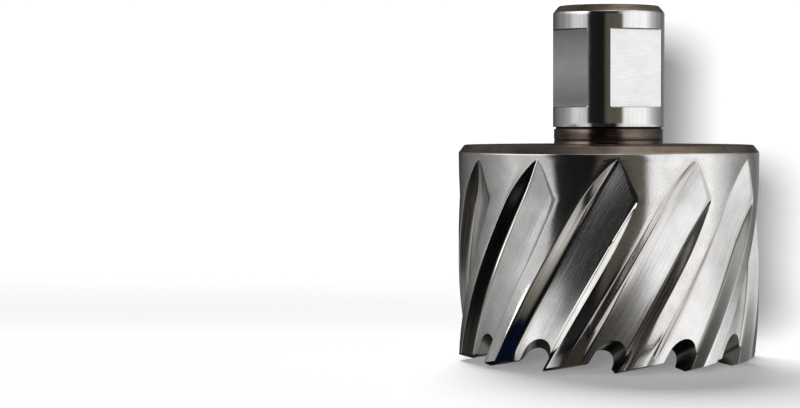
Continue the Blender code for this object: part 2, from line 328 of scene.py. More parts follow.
gullet_across = gullet_frame()[1]
print("the first gullet's side points along", gullet_across.round(2))

# %% The cutting edge
TIP_OUTWARDS = spot(1, rake_corner(0), 0)
tip_sideways = np.cross([0, 0, 1.0], TIP_OUTWARDS)
FLANK = -(gullet_across @ TIP_OUTWARDS) / (gullet_across @ tip_sideways)
OVERCUT = -GULLET_OVERCUT / (gullet_across @ tip_sideways)


def ridge_height(radius):
    """Rises by the outer bevel outside the ridge and by the inner bevel inside it."""
    return np.where(radius > RIDGE, (radius - RIDGE) * OUTER_BEVEL, (RIDGE - radius) * INNER_BEVEL)


def cutting_edge(radius):
    """Angle of the cutting edge: along the rake wall outside its corner, the gullet inside."""
    height = ridge_height(radius)
    corner = RIM - rake_depth(height)
    slope = np.where(radius > corner, rake_lean(height), FLANK)
    return rake_corner(height) + ((radius - corner) * slope + OVERCUT) / radius


edge_turn = math.degrees(cutting_edge(RIM) - cutting_edge(INNER))
print("from rim to core the cutting edge turns by", round(edge_turn, 1), "degrees")

# %% The tooth ends' formula
GULLET_MARGIN = 0.00025
SETTLING_ROUNDS = 12
across_at_tips = across_of(np.zeros(COLUMNS))
through_gullet = (across_at_tips - FLOOR + GULLET_WIDTH - GULLET_MARGIN) \
    / (GULLET_WIDTH - 2 * GULLET_MARGIN)
LAG = PITCH * (1 - np.clip(through_gullet, 0, 1))


def tooth_end(radius, angle):
    """Height of a tooth's end: the ridge, plus the arc behind its edge times the relief. From
    one tooth to the next it comes down evenly, inside the gullet that is cut there later."""
    behind = angle - cutting_edge(radius) - SECTOR * PITCH + LAG
    return ridge_height(radius) + radius * behind * RELIEF


# A column's end depends on its place and its place on its end, so both are found in turns
lowest = np.zeros(COLUMNS)
for _ in range(SETTLING_ROUNDS):
    across = across_of(lowest)
    lowest = tooth_end(skin_radius(across, lowest), skin_angle(across, lowest))
print("tooth ends from", round(lowest.min() * 1000, 2), "to", round(lowest.max() * 1000, 2), "mm")

# %% [markdown]
# ## Rows from the shank's end to the bore
# The whole cutter is one closed skin, like a sock that is turned in on itself: rows run from
# the shank's end down the outside, over the teeth, up the cavity and back up the pilot bore.
# It could be several surfaces, but each would need a seam. So each row has a radius, an angle
# and a height for every column, and says which finish lies between it and the next row.

# %% Finishes and rows
FINISHES = ("ground_round", "ground_flute", "ground_flat", "tinted_turned", "ground_tooth",
            "cavity_turned", "ground_wall", "burnt_neck", "ground_shank", "black_undercut",
            "ground_heel")
ROUND, FLUTE, FLAT, TINTED, TOOTH_FINISH, CAVITY, WALL_FINISH, BURNT, SHANK_FINISH, NEAR_BLACK, \
    HEEL_FINISH = range(len(FINISHES))
rows = []


def add_row(radius, angle, height, finish, across=0.0):
    """One row of the skin, as arrays over the columns."""
    rows.append([np.broadcast_to(np.asarray(value, float), (COLUMNS,))
                 for value in (radius, angle, height, finish, across)])


def add_turned(profile, angle, finish):
    """A row for each point of a turned profile."""
    for radius, height in profile:
        add_row(radius, angle, height, finish)


def refinish(changed, finish):
    """Another finish between each of these rows and the row after it."""
    for row in changed:
        row[3] = np.full(COLUMNS, finish)


print(len(FINISHES), "finishes")

# %% Rounded corners of a turned profile
SOFT_EDGE = 0.00012
CURVE_STEPS = 3
CURVE_ROWS = CURVE_STEPS + 1


def even_share(count):
    """Shares from 0 up to, and without, 1."""
    return np.arange(count) / count


def softened(corners, reach):
    """A profile whose corners are replaced by short curves: each is a quadratic Bezier whose
    ends lie a reach before and after the corner, and whose middle point is the corner."""
    points = []
    for i, (corner, cut) in enumerate(zip(corners, reach)):
        corner = np.array(corner)
        if not cut:
            points.append(corner)
            continue
        before, after = np.array(corners[i - 1]) - corner, np.array(corners[i + 1]) - corner
        a = corner + before / np.linalg.norm(before) * cut
        b = corner + after / np.linalg.norm(after) * cut
        t = np.linspace(0, 1, CURVE_ROWS)[:, None]
        points.extend(a * (1 - t) ** 2 + corner * 2 * t * (1 - t) + b * t ** 2)
    return np.array(points)


print("a softened corner has", CURVE_ROWS, "rows")

# %% [markdown]
# ## Shank
# The shank is ground round, and its two flats take the clamping screws of the machine. Each
# flat is a shallow pocket with a fillet at both ends. It could be cut with a Boolean, but here
# the columns stand straight and some of them lie right on the edges of the flats. So a pocket
# is only a smaller radius between those columns, and its edges come out clean.

# %% The shank's columns
flat_half = math.acos((SHANK - FLAT_DEPTH) / SHANK)
flat_edges = np.sort(np.mod([a + s * flat_half for a in FLAT_ANGLES for s in (-1, 1)], math.tau))
flat_arcs = np.diff(np.append(flat_edges, flat_edges[0] + math.tau))
arc_columns = np.round(flat_arcs / math.tau * COLUMNS).astype(int)
arc_columns[-1] += COLUMNS - arc_columns.sum()
SHANK_ANGLES = np.concatenate([edge + arc * even_share(n)
                               for edge, arc, n in zip(flat_edges, flat_arcs, arc_columns)])


def straight_columns(near):
    """The shank's angles, counted on from the one nearest to a first angle."""
    turns = np.floor((near - SHANK_ANGLES[0]) / math.tau)
    start = int(np.argmin(np.abs(SHANK_ANGLES - (near - turns * math.tau))))
    order = start + np.arange(COLUMNS)
    return SHANK_ANGLES[order % COLUMNS] + math.tau * (order // COLUMNS + turns), start


rim_across = across_of(np.full(COLUMNS, FLUTED_TOP))
rim_angles = skin_angle(rim_across, FLUTED_TOP)
top_angles, top_start = straight_columns(float(rim_angles[0]))
print("flats are", round(2 * SHANK * math.sin(flat_half) * 1000, 2), "mm wide")

# %% The flats' formula
ANGLE_SLACK = 1e-6
WIDEST_TURN = 1.2


def turned_from(middle):
    """Angle of each column from the middle of a flat, from minus to plus half a turn."""
    return np.mod(top_angles - middle + math.pi, math.tau) - math.pi


def pocket_radius(lift):
    """Distance to the flats: (distance of the flat + lift) over the cosine, at most the shank."""
    radius = np.full(COLUMNS, SHANK)
    for middle in FLAT_ANGLES:
        turned = turned_from(middle)
        reach = (SHANK - FLAT_DEPTH + lift) / np.cos(np.clip(turned, -WIDEST_TURN, WIDEST_TURN))
        is_inside = np.abs(turned) <= flat_half + ANGLE_SLACK
        radius = np.where(is_inside, np.minimum(radius, reach), radius)
    return radius


def pocket_finish():
    """Flat between the edges of the two pockets, round elsewhere."""
    finish = np.full(COLUMNS, SHANK_FINISH)
    for middle in FLAT_ANGLES:
        turned = turned_from(middle)
        is_inside = (turned > -flat_half - ANGLE_SLACK) & (turned < flat_half - ANGLE_SLACK)
        finish = np.where(is_inside, FLAT, finish)
    return finish


print(int((pocket_finish() == FLAT).sum()), "columns lie on the flats")

# %% Rows of the shank
ROWS_ABOVE_FLATS = 4
FLAT_ROWS = 12
ROWS_BELOW_FLATS = 3
# Rows crowd where the fillet's quarter circle is steep
FILLET_SHARES = np.array([0, 0.04, 0.15, 0.34, 0.62, 1.0])

chamfer_r, chamfer_h = SHANK_CHAMFER
add_turned(softened([(BORE + BORE_CHAMFER, TOP), (SHANK - chamfer_r, TOP),
                     (SHANK, TOP - chamfer_h), (SHANK, TOP - 2 * chamfer_h)],
                    [0, SOFT_EDGE, SOFT_EDGE, 0])[:-1], top_angles, TINTED)
refinish(rows[-CURVE_ROWS:], SHANK_FINISH)

flat_top = TOP - FLAT_BELOW_TOP
flat_end = flat_top - FLAT_HEIGHT
fillet_down = FILLET_SHARES * FLAT_FILLET
fillet_lift = FLAT_FILLET - np.sqrt(FLAT_FILLET ** 2 - (FLAT_FILLET - fillet_down) ** 2)
for share in even_share(ROWS_ABOVE_FLATS)[1:]:
    add_row(SHANK, top_angles, TOP - chamfer_h + share * (flat_top - TOP + chamfer_h), SHANK_FINISH)
add_row(SHANK, top_angles, flat_top, pocket_finish())
for down, lift in zip(fillet_down, fillet_lift):
    add_row(pocket_radius(lift), top_angles, flat_top - down, pocket_finish())
for share in even_share(FLAT_ROWS)[1:]:
    plain = share * (FLAT_HEIGHT - 2 * FLAT_FILLET)
    add_row(pocket_radius(0), top_angles, flat_top - FLAT_FILLET - plain, pocket_finish())
for down, lift in zip(fillet_down[::-1], fillet_lift[::-1]):
    add_row(pocket_radius(lift), top_angles, flat_end + down, pocket_finish())
add_row(SHANK, top_angles, flat_end, SHANK_FINISH)
for share in even_share(ROWS_BELOW_FLATS)[1:]:
    add_row(SHANK, top_angles, flat_end + share * (SHANK_BASE - flat_end), SHANK_FINISH)
print(len(rows), "rows down to the shank's base")

# %% [markdown]
# ## Neck
# Under the shank the wheel runs out into a narrow undercut, whose steel is coloured near-black.
# The neck below it is turned thinner than the shank, has one fine groove above the cup,
# and is burnt brown by the tempering. It could be a lathe object of its own, but as rows of the
# skin it needs no seam: a profile of a few corners, each softened and carried round the axis.

# %% Rows of the neck
undercut_r = NECK - UNDERCUT[0]
undercut_z = SHANK_BASE - UNDERCUT[1]
groove_z = CUP_TOP + GROOVE_ABOVE_CUP
groove_r, groove_half = NECK - GROOVE[0], GROOVE[1] / 2
cup_start = NECK + 2 * NECK_FILLET
add_turned(softened([(SHANK, SHANK_BASE + 2 * SOFT_EDGE), (SHANK, SHANK_BASE),
                     (undercut_r, SHANK_BASE)], [0, SOFT_EDGE / 2, 0])[1:], top_angles, NEAR_BLACK)
add_turned(softened([(undercut_r, SHANK_BASE), (undercut_r, undercut_z), (NECK, undercut_z),
                     (NECK, groove_z + groove_half), (groove_r, groove_z),
                     (NECK, groove_z - groove_half), (NECK, CUP_TOP), (cup_start, CUP_TOP)],
                    [0, 0, SOFT_EDGE / 2, SOFT_EDGE / 3, SOFT_EDGE / 3, SOFT_EDGE / 3,
                     NECK_FILLET, 0])[1:], top_angles, BURNT)
refinish([row for row in rows
          # The undercut's rows take the near-black steel
          if undercut_z <= row[2][0] <= SHANK_BASE and row[0][0] < NECK], NEAR_BLACK)
print(len(rows), "rows down to the cup")

# %% [markdown]
# ## Top of the cup
# The cup's flat top and its chamfer are turned, not ground, and they keep the brown of the
# tempering. The shank's columns stand straight and the flutes' columns are bunched
# at the edges, so between them each column walks evenly from the one angle to the other. Two
# separate grids would need a seam in the middle of a plain face.

# %% Rows of the cup's top
CUP_TOP_ROWS = 12
cup_edge = RIM - CUP_CHAMFER[0]
for share in even_share(CUP_TOP_ROWS)[1:]:
    add_row(cup_start + share * (cup_edge - cup_start),
            top_angles + share * (rim_angles - top_angles), CUP_TOP, TINTED)
add_turned(softened([(cup_start, CUP_TOP), (cup_edge, CUP_TOP), (RIM, FLUTED_TOP),
                     (RIM, FLUTED_TOP - 2 * SOFT_EDGE)], [0, SOFT_EDGE, SOFT_EDGE, 0])[1:-1],
           rim_angles, TINTED)
refinish(rows[-CURVE_ROWS:], ROUND)
print(len(rows), "rows down to the rim")

# %% [markdown]
# ## Flutes and lands
# From the rim down to the teeth each column follows its own place across the flute. Rows lie
# close together where the arch of the run-out curves, and further apart on the plain helix. The
# last few tilt, until the lowest one lies on the tooth ends. Heel wall, floor and rake wall are
# ground by different parts of the wheel, so each gets a finish of its own.

# %% Rows of the flutes
BLEND_HEIGHT = 0.006
RUNOUT_FOOT = 0.020
RUNOUT_ROWS = 50
HELIX_ROWS = 15
TILTED_ROWS = 8
FLOOR_SEGMENT = 3
FIRST_LAND_SEGMENT = 7
is_land = SEGMENT >= FIRST_LAND_SEGMENT
in_the_flute = np.where(SEGMENT == FLOOR_SEGMENT, FLUTE,
                        np.where(SEGMENT < FLOOR_SEGMENT, HEEL_FINISH, WALL_FINISH))
runout_heights = np.linspace(FLUTED_TOP - SOFT_EDGE, RUNOUT_FOOT, RUNOUT_ROWS)
helix_heights = np.linspace(RUNOUT_FOOT, BLEND_HEIGHT, HELIX_ROWS + 1)[1:]
outer_heights = [np.full(COLUMNS, h) for h in np.concatenate([runout_heights, helix_heights])]
outer_heights += [lowest + share * (BLEND_HEIGHT - lowest)
                  for share in np.linspace(1, 0, TILTED_ROWS + 1)[1:]]
for height in outer_heights:
    across = across_of(height)
    finish = np.where(is_land | (height > ARCH_TIP), ROUND, in_the_flute)
    add_row(skin_radius(across, height), skin_angle(across, height), height, finish, across)
refinish(rows[-1:], TOOTH_FINISH)
print(len(rows), "rows down to the teeth")

# %% [markdown]
# ## The teeth from below
# Seen from below, the end of the wall is the two bevels of every tooth. Columns that run straight
# in to the axis would cut across the slanted cutting edges, so they lean with the edge as they go
# inwards: the same formula that gives the edge turns the rows.

# %% Rows of the tooth ends
OUTER_BEVEL_ROWS = 4
INNER_BEVEL_ROWS = 5
foot_radius, foot_angle = rows[-1][0], rows[-1][1]


def sheared(radius):
    """Angle inside the teeth: the columns turn with the cutting edge as it slants inwards."""
    corner = RIM - RAKE_DEPTH
    return foot_angle + cutting_edge(np.minimum(radius, corner)) \
        - cutting_edge(np.minimum(foot_radius, corner))


bevel_radii = [foot_radius + share * (RIDGE - foot_radius)
               for share in np.linspace(0, 1, OUTER_BEVEL_ROWS + 1)[1:]]
bevel_radii += [np.full(COLUMNS, RIDGE + share * (INNER - RIDGE))
                for share in np.linspace(0, 1, INNER_BEVEL_ROWS + 1)[1:]]
for radius in bevel_radii:
    angle = sheared(radius)
    add_row(radius, angle, tooth_end(radius, angle), TOOTH_FINISH)
refinish(rows[-1:], CAVITY)
print(len(rows), "rows over the teeth")

# %% [markdown]
# ## Cavity and pilot bore
# Inside, the cup is turned to a plain straight bore that lets the slug slip in, with a flat roof
# and a generous fillet, and the pilot bore goes on through the shank. Only the wall's thickness
# shows in the photograph, through the gullets, so the rest is finished plainly. A Solidify
# modifier could give a thin wall, but this one is thick and each face of it has its own form, so
# the skin turns in and goes all the way back to its first row.

# %% Rows of the cavity and the bore
CAVITY_WALL_ROWS = 12
CAVITY_FILLET_ROWS = 7
ROOF_ROWS = 6
BORE_ROWS = 8
inner_angle, inner_height = rows[-1][1], rows[-1][2]
bore_angles, bore_start = straight_columns(float(inner_angle[0]))
wall_top = ROOF - CAVITY_FILLET
for share in np.linspace(0, 1, CAVITY_WALL_ROWS + 1)[1:-1]:
    add_row(INNER, inner_angle + share * (bore_angles - inner_angle),
            inner_height + share * (wall_top - inner_height), CAVITY)
for turn in np.linspace(0, math.pi / 2, CAVITY_FILLET_ROWS):
    add_row(INNER - CAVITY_FILLET * (1 - math.cos(turn)), bore_angles,
            wall_top + CAVITY_FILLET * math.sin(turn), CAVITY)
for share in even_share(ROOF_ROWS)[1:]:
    add_row(INNER - CAVITY_FILLET + share * (BORE + BORE_CHAMFER - INNER + CAVITY_FILLET),
            bore_angles, ROOF, CAVITY)
add_turned([(BORE + BORE_CHAMFER, ROOF), (BORE, ROOF + BORE_CHAMFER)], bore_angles, CAVITY)
for share in even_share(BORE_ROWS)[1:]:
    add_row(BORE, bore_angles, ROOF + BORE_CHAMFER
            + share * (TOP - ROOF - 2 * BORE_CHAMFER), CAVITY)
add_row(BORE, bore_angles, TOP - BORE_CHAMFER, CAVITY)
print(len(rows), "rows of", COLUMNS, "columns")

# %% [markdown]
# ## From rows to a mesh
# The rows are stacked into arrays, and every face is a quad between two rows and two columns.
# The last row is joined to the first, a few columns further on, because the flutes have
# wound part of a turn on the way. Grinding marks need a direction, so each corner of a face
# gets a second position, the grind map: millimetres across the flute and along it, or round
# and along the axis elsewhere. An unwrap would do it too, but it would tear along each edge.

# %% Points and quads
radius, angle, height, finish, across = (np.array([row[i] for row in rows]) for i in range(5))
points = spot(radius, angle, height)
index = np.arange(radius.size).reshape(radius.shape)
closing = np.roll(index[0], top_start - bore_start)
below = np.vstack([index[1:], closing])
quads = np.stack([index, below, np.roll(below, -1, axis=1), np.roll(index, -1, axis=1)], axis=-1)
print(radius.size, "points")

# %% The grind map
FLUTE_SHIFT = 3
TO_MM = 1000


def next_row(values):
    """The same values one row further on."""
    return np.vstack([values[1:], values[-1:]])


def next_column(values, last, step):
    """The same values one column further on, which past each last column grow by a step."""
    moved = np.roll(values, -1, axis=1)
    moved[:, last] += step
    return moved


# Each flute's map starts a few pitches on from its neighbour's, so no two have the same streaks
sector_start = SECTOR * FLUTE_PERIOD * FLUTE_SHIFT
last_of_flute = np.arange(PER_FLUTE - 1, COLUMNS, PER_FLUTE)
across_here = across + sector_start
across_next = next_column(across, last_of_flute, FLUTE_PERIOD) + sector_start
round_here = angle * RIM
round_next = next_column(angle, [-1], math.tau) * RIM
in_flute = np.isin(finish, (FLUTE, WALL_FINISH, HEEL_FINISH))
sideways = [np.where(in_flute, flute, plain) for flute, plain in (
    (across_here, round_here), (next_row(across_here), next_row(round_here)),
    (next_row(across_next), next_row(round_next)), (across_next, round_next))]
upwards = [height, next_row(height), next_row(height), height]
grind = np.stack([np.stack(pair, axis=-1) for pair in zip(sideways, upwards)], axis=2)
print("the grind map is", round(float(np.ptp(height)) * TO_MM, 1), "mm high")


# %% Build the skin
def mesh_object(name, vertices, faces):
    """A linked object from points and faces."""
    mesh = bpy.data.meshes.new(name)
    mesh.from_pydata(vertices, [], faces)
    made = bpy.data.objects.new(name, mesh)
    bpy.context.scene.collection.objects.link(made)
    return made


cutter = mesh_object("cutter_skin", points.reshape(-1, 3), quads.reshape(-1, 4))
grind_layer = cutter.data.uv_layers.new(name="grind")
grind_layer.data.foreach_set("uv", (grind * TO_MM).astype(np.float32).ravel())
cutter.data.polygons.foreach_set("material_index", finish.astype(np.int32).ravel())
cutter.data.update()
print(len(cutter.data.polygons), "quads")

# %% [markdown]
# ## Gullets
# A gullet is the slot in front of each tooth where the chip starts to curl. It is milled
# through the wall at a slant, after the flutes, so its edge is a curve that no grid line
# follows. That is where a Boolean is the right tool: a long round-ended prism for each
# gullet, taken out of the skin once.

# %% Clean meshes
SEAM_GAP = 1e-7
NO_LENGTH = 1e-8
CUT_CRUMBS = 2e-6


def changed_by(mesh, change):
    """Hands a mesh to a function that changes it as a bmesh, and takes it back."""
    bm = bmesh.new()
    bm.from_mesh(mesh)
    change(bm)
    bm.to_mesh(mesh)
    bm.free()


def point_outwards(bm):
    """Turns the faces of every closed prism outwards."""
    bmesh.ops.recalc_face_normals(bm, faces=bm.faces)


def close_seams(bm):
    """Merges points that coincide, and drops edges without length."""
    bmesh.ops.remove_doubles(bm, verts=bm.verts, dist=SEAM_GAP)
    bmesh.ops.dissolve_degenerate(bm, edges=bm.edges, dist=NO_LENGTH)


def merge_crumbs(bm):
    """Merges the points that the cut leaves close together."""
    bmesh.ops.remove_doubles(bm, verts=bm.verts, dist=CUT_CRUMBS)


changed_by(cutter.data, close_seams)
print(len(cutter.data.vertices), "points in the skin before the cut")

# %% Prisms for the gullets
GULLET_ARC = 28
CLEAR = 0.0006
BELOW_TIPS = 0.004


def gullet_prism():
    """A slot with one round end, carried along the slanted direction: two rings of points."""
    corner, gullet_side, up, along = gullet_frame()
    half = GULLET_WIDTH / 2
    turn = np.linspace(0, math.pi, GULLET_ARC + 1)
    u = np.concatenate([[half], half * np.cos(turn), [-half]]) + half - GULLET_OVERCUT
    v = np.concatenate([[-BELOW_TIPS], GULLET_STRAIGHT + half * np.sin(turn), [-BELOW_TIPS]])
    outline = corner + u[:, None] * gullet_side + v[:, None] * up
    reach = 1 / (along @ TIP_OUTWARDS)
    inward = (WALL - rake_depth(0) + 2 * CLEAR) * reach
    outward = (rake_depth(0) + 2 * CLEAR) * reach
    return np.stack([outline - along * inward, outline + along * outward])


def turned_about_axis(vertices, angle):
    """The same points after a turn about the cutter's axis."""
    c, s = math.cos(angle), math.sin(angle)
    return vertices @ np.array([[c, s, 0], [-s, c, 0], [0, 0, 1]])


prism = gullet_prism()
print("a prism has two rings of", prism.shape[1], "points")

# %% Twelve prisms
prisms = np.stack([turned_about_axis(prism, tooth * PITCH) for tooth in range(TEETH)])
ring = np.arange(prisms.size // 3).reshape(prisms.shape[:3])
ring_next = np.roll(ring, -1, axis=2)
sides = np.stack([ring[:, 0], ring_next[:, 0], ring_next[:, 1], ring[:, 1]], axis=-1)
ends = ring.reshape(-1, prism.shape[1])
gullets = mesh_object("gullet_cutters", prisms.reshape(-1, 3),
                      sides.reshape(-1, 4).tolist() + ends.tolist())
changed_by(gullets.data, point_outwards)
# Blender starts this map with one unit for each face, which is all that a gullet needs
gullets.data.uv_layers.new(name="grind")
gullets.data.polygons.foreach_set("material_index",
                                  np.full(len(gullets.data.polygons), TOOTH_FINISH, np.int32))
print(TEETH, "prisms with", len(gullets.data.polygons), "faces")

# %% Cut the gullets
SHARP_FROM = math.radians(28)

for name in FINISHES:
    material = bpy.data.materials.new(name)
    cutter.data.materials.append(material)
    gullets.data.materials.append(material)
cut = cutter.modifiers.new("gullets", "BOOLEAN")
cut.operation = "DIFFERENCE"
cut.solver = "EXACT"
cut.object = gullets
graph = bpy.context.evaluated_depsgraph_get()
cut_mesh = bpy.data.meshes.new_from_object(cutter.evaluated_get(graph))
cutter.modifiers.clear()
cutter.data = cut_mesh
bpy.data.objects.remove(gullets)
changed_by(cutter.data, merge_crumbs)
cutter.data.shade_smooth()
cutter.data.set_sharp_from_angle(angle=SHARP_FROM)
print(len(cutter.data.polygons), "faces after the cut")
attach(cutter, "root")
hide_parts(NODE)

# %% [markdown]
# ## Grinding marks and grain as node groups
# Ground steel is never one grey. The wheel leaves fine streaks in its own direction, and under
# them lies a speckle that the hardening leaves all over. Every finish of the cutter needs both,
# each at its own scale, so they are two node groups with named inputs, built once. The streaks
# read the grind map, because they follow the helix; the speckle reads Object coordinates.

# %% New node groups
FLOAT, VECTOR = "NodeSocketFloat", "NodeSocketVector"


def new_group(name, inputs, outputs):
    """An empty node group with named float or vector sockets."""
    group = bpy.data.node_groups.new(name, "ShaderNodeTree")
    for label, kind, value in inputs:
        socket = group.interface.new_socket(label, in_out="INPUT", socket_type=kind)
        if value is not None:
            socket.default_value = value
    for label, kind in outputs:
        group.interface.new_socket(label, in_out="OUTPUT", socket_type=kind)
    return group, group.nodes.new("NodeGroupInput").outputs, group.nodes.new("NodeGroupOutput").inputs


# %% Nodes and maths
def node(tree, kind, inputs=(), **settings):
    """A node with its settings; inputs are (socket, value or output to link)."""
    made = tree.nodes.new(kind)
    for key, value in settings.items():
        setattr(made, key, value)
    for socket, value in inputs:
        if isinstance(value, bpy.types.NodeSocket):
            tree.links.new(value, made.inputs[socket])
        else:
            made.inputs[socket].default_value = value
    return made


def maths(tree, operation, a, b=0.0):
    """One Math node."""
    return node(tree, "ShaderNodeMath", [(0, a), (1, b)], operation=operation).outputs[0]


def spread(tree, value, low, high, to_low, to_high):
    """Map Range from one span to another, clamped."""
    return node(tree, "ShaderNodeMapRange",
                [("Value", value), ("From Min", low), ("From Max", high), ("To Min", to_low),
                 ("To Max", to_high)]).outputs["Result"]


def colour_mix(tree, share, a, b):
    """Mix of two colours, each a value or an output, by a share."""
    return node(tree, "ShaderNodeMix", [("Factor", share), ("A", a), ("B", b)],
                data_type="RGBA").outputs["Result"]


# %% Grinding marks
def marks_group():
    """Streaks: noise that is fine across the grinding lines and long along them."""
    group, given, result = new_group(
        "grinding_marks",
        [("Across", FLOAT, 0.0), ("Along", FLOAT, 0.0), ("Lines per mm", FLOAT, 4.0),
         ("Length in mm", FLOAT, 8.0)],
        [("Coarse", FLOAT), ("Fine", FLOAT)])
    for label, finer, shorter, detail in (("Coarse", 1.0, 1.0, 2.0), ("Fine", 3.3, 2.0, 1.0)):
        across = maths(group, "MULTIPLY", given["Across"],
                       maths(group, "MULTIPLY", given["Lines per mm"], finer))
        along = maths(group, "DIVIDE", maths(group, "MULTIPLY", given["Along"], shorter),
                      given["Length in mm"])
        place = node(group, "ShaderNodeCombineXYZ", [("X", across), ("Y", along)])
        noise = node(group, "ShaderNodeTexNoise",
                     [("Vector", place.outputs[0]), ("Scale", 1.0), ("Detail", detail)])
        group.links.new(noise.outputs["Fac"], result[label])
    return group


# %% Speckle
def speckle_group():
    """Two noises in space: soft blotches some millimetres wide, and grain of a few tenths."""
    group, given, result = new_group(
        "speckle",
        [("Place", VECTOR, None), ("Blotches per m", FLOAT, 300.0), ("Grains per m", FLOAT, 4500.0)],
        [("Blotches", FLOAT), ("Grain", FLOAT)])
    for label, scale, detail in (("Blotches", "Blotches per m", 3.0), ("Grain", "Grains per m", 1.5)):
        noise = node(group, "ShaderNodeTexNoise",
                     [("Vector", given["Place"]), ("Scale", given[scale]), ("Detail", detail)])
        group.links.new(noise.outputs["Fac"], result[label])
    return group


MARKS, SPECKLE = marks_group(), speckle_group()
print("node groups:", MARKS.name, "and", SPECKLE.name)

# %% [markdown]
# ## Finishes
# All eleven finishes are bare steel, so each is a Principled shader with Metallic 1. They differ
# in three things: how dark the steel is, how wide it smears a reflection, and which way its marks
# run. Eleven separate node trees could do it, but one function with eleven sets of values keeps
# them alike where the steel is alike.

# %% One steel for every finish
SHADE_SPREAD = 0.15
FINE_MARKS = (0.3, 0.7)
BUMP_DISTANCE = 0.001


def steel(name, marks_round, lines, length, dark, light, sharpness, marks_depth, grain_depth,
          streak_share=0.5, grain_share=0.0):
    """Streaks and speckle between two colours and two roughnesses, and over a bump height."""
    material = bpy.data.materials[name]
    material.use_nodes = True
    tree = material.node_tree
    shader = tree.nodes["Principled BSDF"]
    shader.inputs["Metallic"].default_value = 1.0
    grind = node(tree, "ShaderNodeSeparateXYZ",
                 [("Vector", node(tree, "ShaderNodeUVMap", uv_map="grind").outputs["UV"])]).outputs
    along, across = (grind["X"], grind["Y"]) if marks_round else (grind["Y"], grind["X"])
    marks = node(tree, "ShaderNodeGroup", node_tree=MARKS)
    tree.links.new(across, marks.inputs["Across"])
    tree.links.new(along, marks.inputs["Along"])
    marks.inputs["Lines per mm"].default_value = lines
    marks.inputs["Length in mm"].default_value = length
    speckle = node(tree, "ShaderNodeGroup", node_tree=SPECKLE)
    tree.links.new(node(tree, "ShaderNodeTexCoord").outputs["Object"], speckle.inputs["Place"])

    shade = maths(tree, "ADD", maths(tree, "MULTIPLY", marks.outputs["Coarse"], streak_share),
                  maths(tree, "MULTIPLY", speckle.outputs["Blotches"], 1 - streak_share))
    shade = maths(tree, "ADD", shade, maths(tree, "MULTIPLY", speckle.outputs["Grain"], grain_share))
    middle = 0.5 * (1 + grain_share)
    shade = spread(tree, shade, middle - SHADE_SPREAD, middle + SHADE_SPREAD, 0.0, 1.0)
    tree.links.new(colour_mix(tree, shade, (*dark, 1), (*light, 1)), shader.inputs["Base Color"])
    tree.links.new(spread(tree, marks.outputs["Fine"], *FINE_MARKS, *sharpness),
                   shader.inputs["Roughness"])

    height = maths(tree, "ADD", maths(tree, "MULTIPLY", marks.outputs["Coarse"], marks_depth),
                   maths(tree, "MULTIPLY", speckle.outputs["Grain"], grain_depth))
    bump = node(tree, "ShaderNodeBump", [("Height", height), ("Distance", BUMP_DISTANCE),
                                         ("Strength", 1.0)])
    tree.links.new(bump.outputs["Normal"], shader.inputs["Normal"])
    return material


# %% [markdown]
# ### Ground faces
# The lands and the shank are ground round, so they mirror the room sharply: the lands through a
# faint speckle, the shank through marks that run down it. The flats are ground with a coarser
# wheel and smear what they mirror. A single shiny steel would make them all look moulded.

# %% Lands, shank and flats
steel("ground_round", marks_round=True, lines=5.0, length=30.0,
      dark=(0.70, 0.69, 0.67), light=(0.84, 0.83, 0.82), sharpness=(0.08, 0.13),
      marks_depth=0.0002, grain_depth=0.0048, streak_share=0.05, grain_share=0.8)
steel("ground_shank", marks_round=False, lines=0.7, length=40.0,
      dark=(0.72, 0.71, 0.69), light=(0.90, 0.89, 0.88), sharpness=(0.07, 0.12),
      marks_depth=0.0001, grain_depth=0.0030, streak_share=0.7, grain_share=0.25)
flat_steel = steel("ground_flat", marks_round=True, lines=4.0, length=9.0,
                   dark=(0.74, 0.74, 0.74), light=(0.84, 0.84, 0.84), sharpness=(0.16, 0.26),
                   marks_depth=0.0015, grain_depth=0.0006)
print("ground faces:", flat_steel.name, "and two round ones")

# %% The left flat's darker ends
FLAT_MIDDLE = TOP - FLAT_BELOW_TOP - FLAT_HEIGHT / 2
UNDARKENED_HALF = 0.001
# Base colour that the left flat is darkened to at its two ends
DARK_FLAT_ENDS = (0.42, 0.43, 0.41, 1)


def darker_flat_ends(material):
    """Darkens the flat on the left evenly, from its middle out to its two ends."""
    tree = material.node_tree
    shader = tree.nodes["Principled BSDF"]
    clean = shader.inputs["Base Color"].links[0].from_socket
    place = node(tree, "ShaderNodeSeparateXYZ", [
        ("Vector", node(tree, "ShaderNodeTexCoord").outputs["Object"])]).outputs
    away = maths(tree, "ABSOLUTE", maths(tree, "SUBTRACT", place["Z"], FLAT_MIDDLE))
    share = maths(tree, "MULTIPLY", spread(tree, away, UNDARKENED_HALF, FLAT_HEIGHT / 2, 0.0, 1.0),
                  maths(tree, "LESS_THAN", place["X"], 0.0))
    tree.links.new(colour_mix(tree, share, clean, DARK_FLAT_ENDS), shader.inputs["Base Color"])


darker_flat_ends(flat_steel)
print("the left flat is clean within", UNDARKENED_HALF * TO_MM, "mm of its middle")
